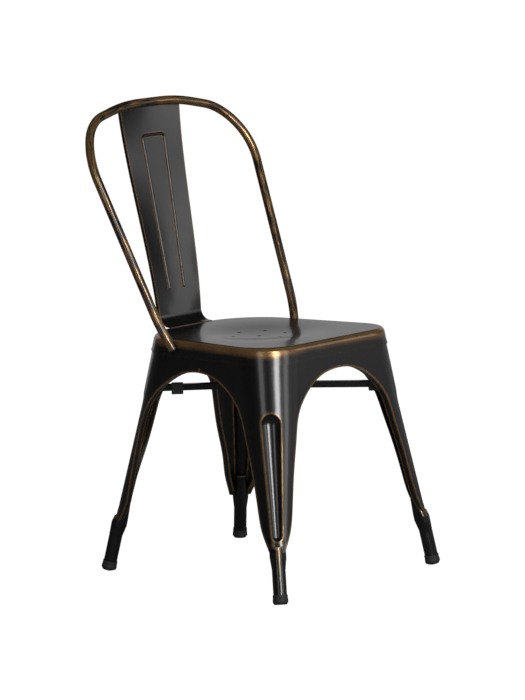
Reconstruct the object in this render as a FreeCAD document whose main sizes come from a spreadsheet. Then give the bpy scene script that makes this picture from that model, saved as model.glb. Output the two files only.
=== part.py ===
import FreeCAD, Part
import math
import os

import Sketcher
from FreeCAD import Placement, Rotation, Vector

# Metal bistro chair, millimetres. Z up, front towards -Y, origin on the floor under the middle of the chair.

SIZES = [
    # seat pan
    ("seat_rim_height", 434.5),
    ("seat_rake", 1.03),
    ("seat_edge_depth", 29.5),
    ("seat_front_half_width", 185),
    ("seat_rear_half_width", 147),
    ("seat_front_reach", 196),
    ("seat_rear_reach", 161),
    ("seat_front_corner_radius", 72),
    ("seat_rear_corner_radius", 118),
    ("seat_roll_radius", 10),
    ("seat_hem_height", 3.2),
    ("seat_hem_step", 0.8),
    ("seat_dish_radius", 150),
    ("seat_dish_depth", 9.3),
    ("drain_hole_diameter", 7.5),
    ("drain_circle_radius", 49),
    ("drain_centre_offset", 13.3),
    ("sheet_thickness", 1.5),
    # legs
    ("foot_front_half_spacing", 210),
    ("foot_front_reach", 237.8),
    ("foot_rear_half_spacing", 179),
    ("foot_rear_reach", 204.7),
    ("shank_diameter", 24),
    ("shank_wall", 2),
    ("sheet_bottom_height", 85),
    ("lip_depth", 14),
    ("apron_lap", 15),
    ("side_seam_offset", 21),
    ("end_arch_top_height", 385.5),
    ("side_arch_top_height", 381.3),
    ("arch_crown_drop", 9),
    ("arch_crown_share", 0.56),
    ("shoulder_height", 350),
    ("haunch_height", 320),
    ("thigh_height", 280),
    ("knee_height", 223),
    ("shin_height", 160),
    ("ankle_height", 125),
    ("heel_height", 97),
    # widths of the sheet beside the front end arch
    ("front_end_shoulder_width", 98),
    ("front_end_haunch_width", 76),
    ("front_end_thigh_width", 66),
    ("front_end_knee_width", 54.5),
    ("front_end_shin_width", 45),
    ("front_end_ankle_width", 37.5),
    ("front_end_heel_width", 25),
    # widths of the sheet beside the front side arch
    ("front_side_shoulder_width", 103),
    ("front_side_haunch_width", 81),
    ("front_side_thigh_width", 70),
    ("front_side_knee_width", 57.5),
    ("front_side_shin_width", 47.5),
    ("front_side_ankle_width", 41),
    ("front_side_heel_width", 28.5),
    # widths of the sheet beside the rear end arch
    ("rear_end_shoulder_width", 113),
    ("rear_end_haunch_width", 90.5),
    ("rear_end_thigh_width", 79),
    ("rear_end_knee_width", 67.5),
    ("rear_end_shin_width", 50.5),
    ("rear_end_ankle_width", 44.5),
    ("rear_end_heel_width", 35.5),
    # widths of the sheet beside the rear side arch
    ("rear_side_shoulder_width", 101),
    ("rear_side_haunch_width", 70),
    ("rear_side_thigh_width", 50.5),
    ("rear_side_knee_width", 47.5),
    ("rear_side_shin_width", 47.5),
    ("rear_side_ankle_width", 46),
    ("rear_side_heel_width", 34),
    ("corner_bend_height", 300),
    ("low_front_corner_radius", 29),
    ("low_rear_corner_radius", 42),
    ("bend_front_corner_radius", 62),
    ("bend_rear_corner_radius", 94),
    ("sheet_foot_reach", 12.5),
    ("front_shank_setback", 14.6),
    ("rear_shank_setback", 15.3),
    ("cuff_bottom_height", 60),
    ("cuff_low_height", 80),
    ("cuff_high_height", 90),
    ("cuff_top_height", 124),
    ("cuff_top_half_width", 9),
    ("cuff_top_shift", 4),
    ("cuff_half_width", 12.5),
    ("cuff_corner_radius", 3),
    # groove pressed into each leg corner
    ("groove_top_height", 327),
    ("groove_bottom_height", 109),
    ("groove_top_width", 37),
    ("groove_bottom_width", 20),
    ("groove_top_depth", 12),
    ("groove_bottom_depth", 8),
    # rubber feet
    ("boot_wall", 1.2),
    ("boot_bulge", 1.7),
    ("boot_height", 17),
    ("boot_sole", 5),
    ("boot_tilt", 0.15),
    ("boot_crush", 1.4),
    # back hoop
    ("hoop_tube_diameter", 16),
    ("hoop_tube_wall", 1.5),
    ("hoop_root_rise", 5.5),
    ("hoop_root_half_width", 177.7),
    ("hoop_root_offset", 55.4),
    ("hoop_flare", 0.128),
    ("hoop_lean", 0.432),
    ("hoop_corner_radius", 98),
    ("hoop_crown_radius", 655),
    ("hoop_top_rise", 400),
    ("hoop_bend_drop", 83),
    ("hoop_bend_lean", 0.177),
    ("hoop_end_half_width", 165),
    ("hoop_end_drop", 17),
    ("hoop_elbow_rise", 18),
    # back splat
    ("splat_foot_half_width", 57),
    ("splat_bottom_half_width", 55.4),
    ("splat_top_half_width", 79.4),
    ("splat_top_rise", 1.1),
    ("splat_top_setback", 7.7),
    ("splat_cove_radius", 22),
    ("splat_toe", 5),
    ("splat_dish", 5),
    ("splat_low_dish", 4),
    ("splat_bend_rise", 45),
    ("splat_flange", 7),
    ("bead_radius", 3.2),
    ("bead_inner_radius", 2),
    ("bead_top_drop", 62),
    ("bead_bottom_rise", 48),
    ("bead_top_half_width", 29),
    ("bead_bottom_half_width", 19.5),
    ("bead_corner_radius", 8),
    # brace bars and stacking pads
    ("bar_size", 12),
    ("bar_edge_radius", 1.5),
    ("bar_blank_reach", 300),
    ("bar_end_height", 331.5),
    ("bar_upper_height", 335.5),
    ("pad_front_distance", 216),
    ("pad_rear_distance", 139),
    ("pad_length", 21),
    ("pad_top_wall", 1.6),
    ("pad_side_wall", 2.5),
    ("pad_bottom_wall", 6),
    ("pad_edge_radius", 1.2),
]

doc = FreeCAD.newDocument("bistro_chair")
sheet = doc.addObject("Spreadsheet::Sheet", "sizes")
for row, (alias, number) in enumerate(SIZES, start=1):
    sheet.set(f"A{row}", alias)
    sheet.set(f"B{row}", str(number))
    sheet.setAlias(f"B{row}", alias)
doc.recompute()


def size(name):
    """Value of one named size in the sheet."""
    return float(sheet.get(name))


THICKNESS = size("sheet_thickness")
RIM = size("seat_rim_height")
HOOP_ROOT = RIM + size("hoop_root_rise")
HOOP_TOP = RIM + size("hoop_top_rise")
SHANK_RADIUS = size("shank_diameter") / 2
SEAM_Y = -size("side_seam_offset")
FOOT_REACH = size("sheet_foot_reach")
BENDS = (size("sheet_bottom_height"), size("corner_bend_height"), RIM)
SQUARE = 90.0

# Tool sizes that leave no mark on the pieces: how far a cut runs past a face, past a hole and past the chair.
OVERRUN = 6.0
THROUGH = 60.0
BEYOND = 500.0
OVERLAP = 0.3


# Outline of the pressed sheet in plan

class Level:
    """Plan outline of the splayed chair at one height, inset from the outer face of the legs."""

    def __init__(self, height, inset=0.0):
        share = height / RIM
        front_foot_width = size("foot_front_half_spacing") + FOOT_REACH
        rear_foot_width = size("foot_rear_half_spacing") + FOOT_REACH
        front_foot_reach = size("foot_front_reach") + FOOT_REACH
        rear_foot_reach = size("foot_rear_reach") + FOOT_REACH
        front_width = blend(front_foot_width, size("seat_front_half_width"), share)
        rear_width = blend(rear_foot_width, size("seat_rear_half_width"), share)
        front_reach = blend(front_foot_reach, size("seat_front_reach"), share)
        rear_reach = blend(rear_foot_reach, size("seat_rear_reach"), share)
        self.height = height
        self.front_y = -front_reach + inset
        self.rear_y = rear_reach - inset
        self.taper = (front_width - rear_width) / (front_reach + rear_reach)
        self.slant = math.hypot(1.0, self.taper)
        self.side_at_front = front_width - inset * self.slant + self.taper * inset
        self.front_radius = corner_radius("front", height, inset)
        self.rear_radius = corner_radius("rear", height, inset)

    def side_x(self, y):
        return self.side_at_front - self.taper * (y - self.front_y)

    def centre(self, front):
        radius = self.radius(front)
        y = self.front_y + radius if front else self.rear_y - radius
        return Vector(self.side_x(y) - radius * self.slant, y, self.height)

    def radius(self, front):
        return self.front_radius if front else self.rear_radius

    def end_y(self, front):
        return self.front_y if front else self.rear_y

    def corner(self, front):
        """Start, middle and end of the corner arc, from the end face to the side face."""
        centre = self.centre(front)
        radius = self.radius(front)
        side_angle = math.atan(self.taper)
        end_angle = -math.pi / 2 if front else math.pi / 2
        angles = (end_angle, (end_angle + side_angle) / 2, side_angle)
        return [centre + Vector(math.cos(a), math.sin(a), 0) * radius for a in angles]

    def quarter(self, front, overrun=0.0):
        """Closed wire round one leg's quarter of the outline, on the +X side."""
        start, middle, end = self.corner(front)
        seam = SEAM_Y + (overrun if front else -overrun)
        inner = Vector(-overrun, seam, self.height)
        face = Vector(-overrun, self.end_y(front), self.height)
        side = Vector(self.side_x(seam), seam, self.height)
        return Part.Wire([
            Part.makeLine(inner, face),
            Part.makeLine(face, start),
            Part.Arc(start, middle, end).toShape(),
            Part.makeLine(end, side),
            Part.makeLine(side, inner),
        ])

    def whole(self):
        """Closed wire round the whole outline."""
        front = self.corner(True)
        rear = self.corner(False)
        front_mirror = [mirrored(p) for p in front]
        rear_mirror = [mirrored(p) for p in rear]
        return Part.Wire([
            Part.makeLine(front_mirror[0], front[0]),
            Part.Arc(*front).toShape(),
            Part.makeLine(front[2], rear[2]),
            Part.Arc(*reversed(rear)).toShape(),
            Part.makeLine(rear[0], rear_mirror[0]),
            Part.Arc(*rear_mirror).toShape(),
            Part.makeLine(rear_mirror[2], front_mirror[2]),
            Part.Arc(*reversed(front_mirror)).toShape(),
        ])


def blend(low, high, share):
    return low + (high - low) * share


def corner_radius(place, height, inset):
    """Radius of the sheet's corner, straight between the bends of its profile."""
    names = (f"low_{place}_corner_radius", f"bend_{place}_corner_radius", f"seat_{place}_corner_radius")
    radii = [size(name) for name in names]
    band = 0 if height < BENDS[1] else 1
    share = (height - BENDS[band]) / (BENDS[band + 1] - BENDS[band])
    return max(blend(radii[band], radii[band + 1], share) - inset, 0.5)


def band_heights(low, high):
    """Heights where a volume from low to high needs an outline."""
    return [low] + [z for z in BENDS if low < z < high] + [high]


def mirrored(point):
    return Vector(-point.x, point.y, point.z)


def solid_loft(wires):
    return Part.makeLoft(wires, True, True)


def quarter_volume(front, inset, low, high, overrun=0.0):
    return solid_loft([Level(z, inset).quarter(front, overrun) for z in band_heights(low, high)])


def whole_volume(inset, low, high):
    return solid_loft([Level(z, inset).whole() for z in band_heights(low, high)])


def rim_height(y):
    return RIM - math.tan(math.radians(size("seat_rake"))) * y


def add_feature(name, shape):
    feature = doc.addObject("Part::Feature", name)
    feature.Label = name
    feature.Shape = shape
    return feature


def single(shape):
    """The one solid inside a boolean's result."""
    solids = sorted(shape.Solids, key=lambda s: s.Volume)
    return solids[-1]


# Seat pan

def below_seat_plane(depth):
    """Half space under the raked seat plane, lowered by depth, as a large block."""
    block = Part.makeBox(2 * BEYOND, 2 * BEYOND, BEYOND, Vector(-BEYOND, -BEYOND, -BEYOND))
    block.rotate(Vector(0, 0, 0), Vector(1, 0, 0), -size("seat_rake"))
    block.translate(Vector(0, 0, RIM - depth))
    return block


def pan_volume(inset):
    """Outer (inset 0) or inner volume of the pan, with its rolled upper edge."""
    edge = size("seat_edge_depth")
    tall = whole_volume(inset, RIM - 3 * edge, RIM + edge)
    body = tall.common(below_seat_plane(inset))
    top = max(body.Faces, key=lambda f: f.CenterOfMass.z)
    return body.makeFillet(size("seat_roll_radius") - inset, top.Edges)


def dish_volume(drop):
    """Shallow bowl pressed into the seat: two tangent arcs turned about the seat's axis."""
    radius = size("seat_dish_radius")
    depth = size("seat_dish_depth")
    half = radius / 2
    slope = math.atan(depth / half)
    sine = math.sin(slope / 2)
    cosine = math.cos(slope / 2)
    bottom = Vector(0, 0, -depth)
    rim = Vector(radius, 0, 0)
    arc_radius = half / math.sin(slope)
    low_middle = Vector(arc_radius * sine, 0, -depth + arc_radius * (1 - cosine))
    high_middle = Vector(radius - arc_radius * sine, 0, -arc_radius * (1 - cosine))
    turn = Vector(arc_radius * math.sin(slope), 0, -depth + arc_radius * (1 - math.cos(slope)))
    top = Vector(0, 0, THROUGH)
    outline = Part.Wire([
        Part.Arc(bottom, low_middle, turn).toShape(),
        Part.Arc(turn, high_middle, rim).toShape(),
        Part.makeLine(rim, rim + top),
        Part.makeLine(rim + top, top),
        Part.makeLine(top, bottom),
    ])
    bowl = Part.Face(outline).revolve(Vector(0, 0, 0), Vector(0, 0, 1), 360)
    bowl.rotate(Vector(0, 0, 0), Vector(1, 0, 0), -size("seat_rake"))
    centre_y = (size("seat_rear_reach") - size("seat_front_reach")) / 2
    bowl.translate(Vector(0, centre_y, rim_height(centre_y) - drop))
    return bowl


def drain_holes():
    """Seven drills: one in the middle and six on a circle."""
    radius = size("drain_hole_diameter") / 2
    centre = Vector(0, -size("drain_centre_offset"), RIM - THROUGH)
    places = [centre]
    for turn in range(6):
        angle = math.radians(SQUARE + 60 * turn)
        offset = Vector(math.cos(angle), math.sin(angle), 0) * size("drain_circle_radius")
        places.append(centre + offset)
    drills = [Part.makeCylinder(radius, 2 * THROUGH, place) for place in places]
    return drills[0].multiFuse(drills[1:])


def hem_volume():
    """Folded hem that stands out a little along the lower edge of the skirt."""
    edge = size("seat_edge_depth")
    tall = whole_volume(-size("seat_hem_step"), RIM - 3 * edge, RIM)
    band = tall.common(below_seat_plane(edge - size("seat_hem_height"))).cut(below_seat_plane(edge))
    return band.cut(whole_volume(THICKNESS / 2, RIM - 3 * edge - OVERRUN, RIM + OVERRUN))


pan_outside = pan_volume(0.0)
pan_solid = pan_outside.cut(below_seat_plane(size("seat_edge_depth"))).cut(dish_volume(0.0))
pan_void = pan_volume(THICKNESS).cut(dish_volume(THICKNESS))
pan_shell = pan_solid.cut(pan_void).fuse(hem_volume())
add_feature("seat_pan", single(pan_shell.cut(drain_holes())))


# Legs

def arch_stations(half_outer, top, face):
    """Points down one side of an arch: distance from the arch's middle against height."""
    names = ("shoulder", "haunch", "thigh", "knee", "shin", "ankle", "heel")
    points = []
    for name in names:
        height = size(name + "_height")
        points.append((half_outer(height) - size(f"{face}_{name}_width"), height))
    low = size("sheet_bottom_height") - OVERRUN
    ankle_width = size(face + "_ankle_width")
    heel_width = size(face + "_heel_width")
    fall = (ankle_width - heel_width) / (size("ankle_height") - size("heel_height"))
    points.append((half_outer(low) - heel_width + fall * (size("heel_height") - low), low))
    crown = points[0][0] * size("arch_crown_share")
    return [(0.0, top), (crown, top - size("arch_crown_drop"))] + points


def arch_prism(left, right, grow, place):
    """Prism through an arch: a smooth curve through its stations, moved outward by grow."""
    path = [Vector(-x, 0, z) for x, z in reversed(left[1:])]
    path += [Vector(x, 0, z) for x, z in right]
    curve = Part.BSplineCurve()
    curve.interpolate(path)
    if grow:
        moved = []
        for point in path:
            along = curve.tangent(curve.parameter(point))[0]
            moved.append(point + Vector(-along.z, 0, along.x) * grow)
        path = moved
        curve.interpolate(path)
    outline = Part.Wire([curve.toShape(), Part.makeLine(path[-1], path[0])])
    prism = Part.Face(outline).extrude(Vector(0, BEYOND - THROUGH, 0))
    prism.Placement = place
    return prism


def end_arch(front, grow):
    """Arch between the two front legs, or between the two rear legs."""
    def half_outer(height):
        level = Level(height)
        return level.side_x(level.end_y(front))

    sides = arch_stations(half_outer, size("end_arch_top_height"), "front_end" if front else "rear_end")
    start = -BEYOND if front else THROUGH
    return arch_prism(sides, sides, grow, Placement(Vector(0, start, 0), Rotation()))


def side_arch(grow):
    """Arch between the front and the rear leg of the +X side."""
    top = size("side_arch_top_height")
    front = arch_stations(lambda z: SEAM_Y - Level(z).front_y, top, "front_side")
    rear = arch_stations(lambda z: Level(z).rear_y - SEAM_Y, top, "rear_side")
    place = Placement(Vector(BEYOND, SEAM_Y, 0), Rotation(Vector(0, 0, 1), SQUARE))
    return arch_prism(front, rear, grow, place)


def corner_point(height, front):
    """Outermost point of a leg's corner arc at one height, and the direction it faces."""
    level = Level(height)
    middle = level.corner(front)[1]
    outward = (middle - level.centre(front)).normalize()
    return middle, outward


def groove_section(height, front, width, depth):
    """Centre and radius of the circle that presses a groove of that width and depth."""
    corner, outward = corner_point(height, front)
    radius = Level(height).radius(front)
    half = min(width / 2, radius * 0.8)
    chord_drop = radius - math.sqrt(radius ** 2 - half ** 2)
    below_chord = max(depth - chord_drop, 0.5)
    groove_radius = (half ** 2 + below_chord ** 2) / (2 * below_chord)
    return corner + outward * (groove_radius - depth), groove_radius


def groove_volume(front, grow):
    """Tapered round-ended body that presses the groove into a leg's corner."""
    top_half = size("groove_top_width") / 2
    bottom_half = size("groove_bottom_width") / 2
    high = size("groove_top_height") - top_half
    low = size("groove_bottom_height") + bottom_half
    top, top_radius = groove_section(high, front, size("groove_top_width"), size("groove_top_depth"))
    bottom, bottom_radius = groove_section(
        low, front, size("groove_bottom_width"), size("groove_bottom_depth"))
    axis = top - bottom
    cone = Part.makeCone(bottom_radius + grow, top_radius + grow, axis.Length, bottom, axis)
    caps = [Part.makeSphere(top_radius + grow, top), Part.makeSphere(bottom_radius + grow, bottom)]
    return cone.multiFuse(caps)


def foot_axis(front):
    """Floor point and direction of a leg's shank, on the +X side."""
    place = "front" if front else "rear"
    outward = -1 if front else 1
    floor = Vector(size(f"foot_{place}_half_spacing"), size(f"foot_{place}_reach") * outward, 0)
    setback = size(place + "_shank_setback")
    level = Level(size("sheet_bottom_height"), THICKNESS)
    face = level.end_y(front)
    top = Vector(level.side_x(face) - setback, face - setback * outward, level.height)
    return floor, (top - floor).normalize()


def shank_volume(front, radius, low, high):
    floor, direction = foot_axis(front)
    start = floor + direction * (low / direction.z)
    length = (high - low) / direction.z
    return Part.makeCylinder(radius, length, start, direction)


def rounded_square(centre, half, radii):
    """Closed wire of a square with one corner radius for each corner, counter-clockwise from (+X, -Y)."""
    corners = []
    for index, radius in enumerate(radii):
        across = Vector(1 if index < 2 else -1, 1 if index in (1, 2) else -1, 0)
        middle = centre + across * (half - radius)
        angles = [math.radians(SQUARE * index - step) for step in (SQUARE, SQUARE / 2, 0)]
        corners.append([middle + Vector(math.cos(a), math.sin(a), 0) * radius for a in angles])
    edges = []
    for points, after in zip(corners, corners[1:] + corners[:1]):
        edges.append(Part.Arc(*points).toShape())
        edges.append(Part.makeLine(points[2], after[0]))
    return Part.Wire(edges)


def cuff_volume(front):
    """Squared cuff that closes the sheet round the shank and tapers to the tube below and the sheet above."""
    floor, direction = foot_axis(front)
    square = size("cuff_corner_radius")
    round_corner = SHANK_RADIUS - OVERLAP
    between = (square + round_corner) / 2
    low = size("cuff_low_height")
    squared_half = size("cuff_half_width")
    top_half = size("cuff_top_half_width")
    top_corner = top_half - OVERLAP
    squared = (round_corner, between, square, between) if front else (between, round_corner, between, square)
    stations = (
        (size("cuff_bottom_height"), SHANK_RADIUS, (round_corner,) * 4, 0),
        (low, squared_half, squared, 0),
        (size("cuff_high_height"), squared_half, squared, 0),
        (size("cuff_top_height"), top_half, (top_corner,) * 4, size("cuff_top_shift")),
    )
    inward = Vector(-1, 1 if front else -1, 0)
    sections = []
    for height, half, radii, shift in stations:
        centre = floor + direction * (height / direction.z) + inward * shift
        sections.append(rounded_square(centre, half, radii))
    return solid_loft(sections)


def leg_shape(front):
    """One leg on the +X side: wrapped sheet, lips, corner groove and round shank."""
    low = size("sheet_bottom_height")
    high = RIM - size("seat_edge_depth") + size("apron_lap")
    outside = quarter_volume(front, THICKNESS, low, high)
    inside = quarter_volume(front, 2 * THICKNESS, low - OVERRUN, high + OVERRUN, OVERRUN)
    hollow = quarter_volume(front, THICKNESS + size("lip_depth"), low - OVERRUN, high + OVERRUN, OVERRUN)
    arches = [end_arch(front, 0.0), side_arch(0.0)]
    wide_arches = [end_arch(front, THICKNESS), side_arch(THICKNESS)]
    block = outside.cut(hollow)
    core = inside
    for arch, wide_arch in zip(arches, wide_arches):
        block = block.cut(arch)
        core = core.cut(wide_arch)
    sheet_part = single(block.cut(core))
    pressed = outside.common(groove_volume(front, THICKNESS))
    shank = shank_volume(front, SHANK_RADIUS, size("boot_sole") + 1.0, size("cuff_high_height"))
    bore = shank_volume(front, SHANK_RADIUS - size("shank_wall"), 0, size("cuff_top_height") + OVERRUN)
    shank = shank.fuse(cuff_volume(front)).cut(bore)
    leg = sheet_part.fuse([pressed, shank])
    return single(leg.cut(groove_volume(front, 0.0)))


YZ_MIRROR = (Vector(0, 0, 0), Vector(1, 0, 0))
for front, place in ((True, "front"), (False, "rear")):
    left = leg_shape(front)
    add_feature(f"leg_{place}_left", left)
    add_feature(f"leg_{place}_right", left.mirror(*YZ_MIRROR))


# Back hoop

def hoop_depth(height):
    """How far behind the origin the hoop's centreline lies at one height."""
    straight = size("hoop_root_offset") + size("hoop_lean") * (height - HOOP_ROOT)
    above_bend = max(height - (HOOP_TOP - size("hoop_bend_drop")), 0)
    return straight + size("hoop_bend_lean") * above_bend


def hoop_corner():
    """Centre of the corner arc in the hoop's own plane, and the angles where it starts and ends."""
    flare = size("hoop_flare")
    corner = size("hoop_corner_radius")
    crown = size("hoop_crown_radius")
    along = Vector(flare, 0, 1).normalize()
    inward = Vector(-along.z, 0, along.x)
    crown_centre = Vector(0, 0, HOOP_TOP - crown)
    start = Vector(size("hoop_root_half_width"), 0, HOOP_ROOT) + inward * corner
    offset = start - crown_centre
    half = offset.dot(along)
    reach = half ** 2 - (offset.dot(offset) - (crown - corner) ** 2)
    centre = start + along * (math.sqrt(reach) - half)
    toward = centre - crown_centre
    return centre, math.atan2(-inward.z, -inward.x), math.atan2(toward.z, toward.x)


def tangent_corners(centre, radius, first, last, count):
    """Corners of the open polygon that wraps an arc in count equal turns."""
    half_turn = (last - first) / count / 2
    reach = radius / math.cos(half_turn)
    angles = [first + half_turn * (2 * i + 1) for i in range(count)]
    return [centre + Vector(math.cos(a), 0, math.sin(a)) * reach for a in angles]


def hoop_corners():
    """Corners of the hoop's centreline from the +X end over the top to the -X end."""
    crown = size("hoop_crown_radius")
    crown_centre = Vector(0, 0, HOOP_TOP - crown)
    centre, first, last = hoop_corner()
    end_z = rim_height(size("hoop_root_offset")) - size("hoop_end_drop")
    elbow_x = size("hoop_root_half_width") + size("hoop_flare") * size("hoop_elbow_rise")
    elbow = Vector(elbow_x, 0, HOOP_ROOT + size("hoop_elbow_rise"))
    half = [Vector(size("hoop_end_half_width"), 0, end_z), elbow]
    half += tangent_corners(centre, size("hoop_corner_radius"), first, last, 4)
    half += tangent_corners(crown_centre, crown, last, math.pi / 2, 1)
    corners = [Vector(p.x, hoop_depth(p.z), p.z) for p in half]
    return corners + [mirrored(p) for p in reversed(corners)]


def rounded_path(corners, largest):
    """Wire of straight runs and tangent arcs through a row of corners."""
    edges = []
    start = corners[0]
    for before, corner, after in zip(corners, corners[1:], corners[2:]):
        back = (before - corner)
        ahead = (after - corner)
        half_turn = (math.pi - back.getAngle(ahead)) / 2
        trim = min(0.47 * min(back.Length, ahead.Length), largest * math.tan(half_turn))
        back.normalize()
        ahead.normalize()
        radius = trim / math.tan(half_turn)
        entry = corner + back * trim
        leave = corner + ahead * trim
        bisector = (back + ahead).normalize()
        middle = corner + bisector * (radius / math.cos(half_turn) - radius)
        edges.append(Part.makeLine(start, entry))
        edges.append(Part.Arc(entry, middle, leave).toShape())
        start = leave
    edges.append(Part.makeLine(start, corners[-1]))
    return Part.Wire(edges)


def hoop_tube(radius):
    corners = hoop_corners()
    path = rounded_path(corners, size("hoop_crown_radius"))
    ring = Part.Wire([Part.makeCircle(radius, corners[0], corners[1] - corners[0])])
    return path.makePipeShell([ring], True, False)


hoop_outside = hoop_tube(size("hoop_tube_diameter") / 2)
hoop_bore = hoop_tube(size("hoop_tube_diameter") / 2 - size("hoop_tube_wall"))
add_feature("back_hoop", single(hoop_outside.cut(hoop_bore).cut(pan_outside)))


# Back splat, built upright about its foot and then leaned back to meet the top of the hoop

def splat_pose():
    """Foot of the splat on the rear rim, and its lean and length up to the top of the hoop."""
    radius = size("splat_cove_radius")
    toe_front = size("seat_rear_reach") - size("seat_roll_radius")
    toe_top = rim_height(toe_front) + THICKNESS - OVERLAP
    top = Vector(0, hoop_depth(HOOP_TOP) + size("splat_top_setback"), HOOP_TOP + size("splat_top_rise"))
    lean = 0.0
    for _ in range(8):
        foot_y = toe_front + size("splat_toe") + radius * math.cos(lean)
        foot = Vector(0, foot_y, toe_top + radius * (1 - math.sin(lean)))
        run = top - foot
        lean = math.atan2(run.y, run.z)
    return foot, lean, run.Length


SPLAT_FOOT, SPLAT_LEAN, SPLAT_LENGTH = splat_pose()


def splat_section(height, half_width, dish):
    """Closed cross-section: dished sheet with both edges folded back."""
    flange = size("splat_flange")
    outer = [Vector(-half_width, -dish, height), Vector(0, 0, height), Vector(half_width, -dish, height)]
    inner_half = half_width - THICKNESS
    inner_edge = Vector(inner_half, THICKNESS - dish, height)
    inner = [inner_edge, Vector(0, THICKNESS, height), mirrored(inner_edge)]
    right_tip = Vector(half_width, flange - dish, height)
    right_inner_tip = Vector(inner_half, flange - dish, height)
    left_tip = Vector(-half_width, flange - dish, height)
    left_inner_tip = Vector(-inner_half, flange - dish, height)
    return Part.Wire([
        Part.Arc(*outer).toShape(),
        Part.makeLine(outer[2], right_tip),
        Part.makeLine(right_tip, right_inner_tip),
        Part.makeLine(right_inner_tip, inner[0]),
        Part.Arc(*inner).toShape(),
        Part.makeLine(inner[2], left_inner_tip),
        Part.makeLine(left_inner_tip, left_tip),
        Part.makeLine(left_tip, outer[0]),
    ])


def cove_volume():
    """Foot of the splat: the sheet curves forward and ends in a flat toe."""
    radius = size("splat_cove_radius")
    turn = math.pi / 2 - SPLAT_LEAN
    centre = Vector(0, -radius, 0)

    def on_arc(share, distance):
        angle = -turn * share
        return centre + Vector(0, math.cos(angle), math.sin(angle)) * distance

    forward = Vector(0, -math.cos(SPLAT_LEAN), -math.sin(SPLAT_LEAN)) * size("splat_toe")
    thick = radius + THICKNESS
    near = [on_arc(s, radius) for s in (0, 0.5, 1)]
    far = [on_arc(s, thick) for s in (0, 0.5, 1)]
    outline = Part.Wire([
        Part.Arc(*near).toShape(),
        Part.makeLine(near[2], near[2] + forward),
        Part.makeLine(near[2] + forward, far[2] + forward),
        Part.makeLine(far[2] + forward, far[2]),
        Part.Arc(*reversed(far)).toShape(),
        Part.makeLine(far[0], near[0]),
    ])
    width = size("splat_bottom_half_width")
    strip = Part.Face(outline).extrude(Vector(2 * width, 0, 0))
    strip.translate(Vector(-width, 0, 0))
    foot = size("splat_foot_half_width")
    deep = -radius - size("splat_toe")
    right = [Vector(width, -THROUGH, 1), Vector(foot, -THROUGH, deep)]
    corners = right + [mirrored(p) for p in reversed(right)]
    trim = Part.makePolygon(corners + corners[:1])
    return strip.common(Part.Face(trim).extrude(Vector(0, 2 * THROUGH, 0)))


def bead_wire():
    """Inverted U that the bead follows on the splat's front face."""
    low = size("bead_bottom_rise")
    high = SPLAT_LENGTH - size("bead_top_drop")
    wide = size("bead_top_half_width")
    slim = size("bead_bottom_half_width")
    leg = Vector(wide - slim, 0, high - low)
    corner = Vector(wide, 0, high)
    bend = math.acos(leg.normalize().x)
    trim = size("bead_corner_radius") * math.tan(bend / 2)
    below = corner - leg * trim
    beside = corner - Vector(trim, 0, 0)
    bisector = ((below - corner).normalize() + (beside - corner).normalize()).normalize()
    to_centre = size("bead_corner_radius") / math.cos(bend / 2)
    middle = corner + bisector * (to_centre - size("bead_corner_radius"))
    right_foot = Vector(slim, 0, low)
    return Part.Wire([
        Part.makeLine(mirrored(right_foot), mirrored(below)),
        Part.Arc(mirrored(below), mirrored(middle), mirrored(beside)).toShape(),
        Part.makeLine(mirrored(beside), beside),
        Part.Arc(beside, middle, below).toShape(),
        Part.makeLine(below, right_foot),
    ]), right_foot, leg


def bead_volume(radius):
    path, foot, leg = bead_wire()
    ring = Part.Wire([Part.makeCircle(radius, mirrored(foot), Vector(-leg.x, 0, leg.z))])
    pipe = path.makePipeShell([ring], True, False)
    ends = [Part.makeSphere(radius, foot), Part.makeSphere(radius, mirrored(foot))]
    return pipe.multiFuse(ends)


def splat_shape():
    bottom = size("splat_bottom_half_width")
    widening = (size("splat_top_half_width") - bottom) / SPLAT_LENGTH
    bend = size("splat_bend_rise")
    low_dish = size("splat_low_dish")
    stations = ((0, 0.1), (bend, 0.75 * low_dish), (2.5 * bend, low_dish), (SPLAT_LENGTH, size("splat_dish")))
    sections = [splat_section(z, bottom + widening * z, depth) for z, depth in stations]
    plate = Part.makeLoft(sections, True, False)
    splat = plate.fuse([cove_volume(), bead_volume(size("bead_radius"))])
    splat = splat.cut(bead_volume(size("bead_inner_radius")))
    splat.rotate(Vector(0, 0, 0), Vector(1, 0, 0), -math.degrees(SPLAT_LEAN))
    splat.translate(SPLAT_FOOT)
    return splat


add_feature("back_splat", single(splat_shape().cut(hoop_outside).cut(pan_outside)))


# Sketch helpers for the moulded and sawn pieces

def origin_plane(body, role):
    return next(f for f in body.Origin.OriginFeatures if f.Role == role)


def polygon_sketch(body, role, name, outlines):
    """Sketch of closed polygons whose corners are tied to expressions over the sheet."""
    sketch = body.newObject("Sketcher::SketchObject", name)
    sketch.AttachmentSupport = [(origin_plane(body, role), "")]
    sketch.MapMode = "FlatFace"
    for corners in outlines:
        first = sketch.GeometryCount
        count = len(corners)
        guess = [Vector(math.cos(2 * math.pi * i / count), math.sin(2 * math.pi * i / count), 0) * 10
                 for i in range(count)]
        for i in range(count):
            sketch.addGeometry(Part.LineSegment(guess[i], guess[(i + 1) % count]), False)
        for i in range(count):
            after = first + (i + 1) % count
            sketch.addConstraint(Sketcher.Constraint("Coincident", first + i, 2, after, 1))
        for i, corner in enumerate(corners):
            for kind, expression, start in zip(("DistanceX", "DistanceY"), corner, guess[i]):
                index = sketch.addConstraint(
                    Sketcher.Constraint(kind, -1, 1, first + i, 1, start))
                sketch.setExpression(f"Constraints[{index}]", expression)
    return sketch


def edge_names(body, wanted):
    return [f"Edge{i}" for i, edge in enumerate(body.Shape.Edges, start=1) if wanted(edge)]


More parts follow.
